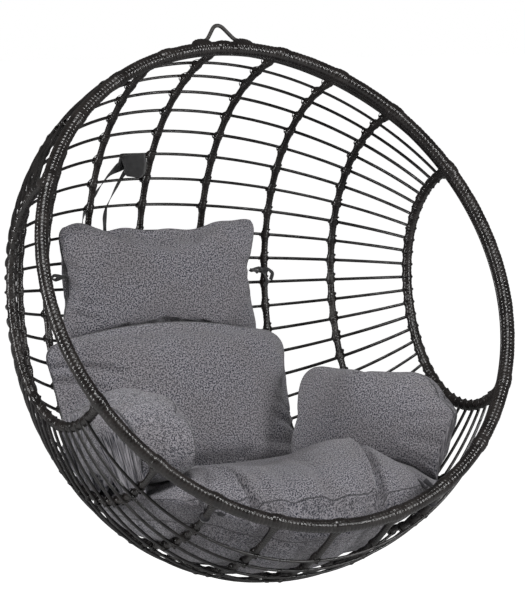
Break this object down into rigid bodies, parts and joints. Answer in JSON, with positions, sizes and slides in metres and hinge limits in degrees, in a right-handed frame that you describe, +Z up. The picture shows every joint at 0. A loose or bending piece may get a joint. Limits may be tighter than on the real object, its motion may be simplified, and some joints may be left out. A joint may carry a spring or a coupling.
{
  "type": "hanging egg chair",
  "caption": "Hanging egg chair basket: round front hoop, caged back of ribs and side-to-side strands with open sides, hanging eye, and loose seat, back, arm and head cushions.",
  "frame": {"origin": "under the crown of the hanging eye, where a hook bears", "axes": "+Z up along the hanging chain, -Y towards the front opening, +X to the right of a person facing the opening; the basket is at the tilt it hangs at"},
  "size_m": [1.0468, 0.8467, 1.1042],
  "materials": {
    "wicker": "near-black synthetic wicker, semi-gloss, bound round steel tube",
    "eye_steel": "dark powder-coated steel rod",
    "webbing": "black woven tape",
    "cushion_fabric": "charcoal melange woven polyester"
  },
  "bodies": {
    "basket": {"hoop": "wicker", "arch_left": "wicker", "arch_right": "wicker", "rib_left_3": "wicker", "rib_left_2": "wicker", "rib_left_1": "wicker", "rib_centre": "wicker", "rib_right_1": "wicker", "rib_right_2": "wicker", "rib_right_3": "wicker", "strand_01": "wicker", "strand_02": "wicker", "strand_03": "wicker", "strand_04": "wicker", "strand_05": "wicker", "strand_06": "wicker", "strand_07": "wicker", "strand_08": "wicker", "strand_09": "wicker", "strand_10": "wicker", "strand_11": "wicker", "strand_12": "wicker", "strand_13": "wicker", "strand_14": "wicker", "strand_15": "wicker", "strand_16": "wicker", "strand_17": "wicker", "strand_18": "wicker", "strand_19": "wicker", "strand_20": "wicker", "strand_21": "wicker", "strand_22": "wicker", "strand_23": "wicker", "strand_24": "wicker", "strand_25": "wicker", "strand_26": "wicker", "strand_27": "wicker", "strand_28": "wicker", "strand_29": "wicker", "strand_30": "wicker", "strand_31": "wicker", "hanging_eye": "eye_steel", "pillow_strap_flap": "webbing", "pillow_strap_tape_left": "webbing", "pillow_strap_tape_right": "webbing", "pillow_tie_left": "webbing", "pillow_tie_right": "webbing", "seat_tie_left": "webbing", "seat_tie_right": "webbing"},
    "cushion_set": {"seat_cushion": "cushion_fabric", "back_cushion": "cushion_fabric", "arm_cushion_left": "cushion_fabric", "arm_cushion_right": "cushion_fabric"},
    "head_pillow": {"head_pillow": "cushion_fabric"}
  },
  "joints": [
    {"name": "cushion_set_lift", "type": "slide", "parent": "basket", "child": "cushion_set", "axis": [0, -0.6184, 0.7859], "range_m": [0, 0.75]},
    {"name": "head_pillow_lift", "type": "slide", "parent": "basket", "child": "head_pillow", "axis": [0, -0.8007, 0.599], "range_m": [0, 0.5]}
  ]
}
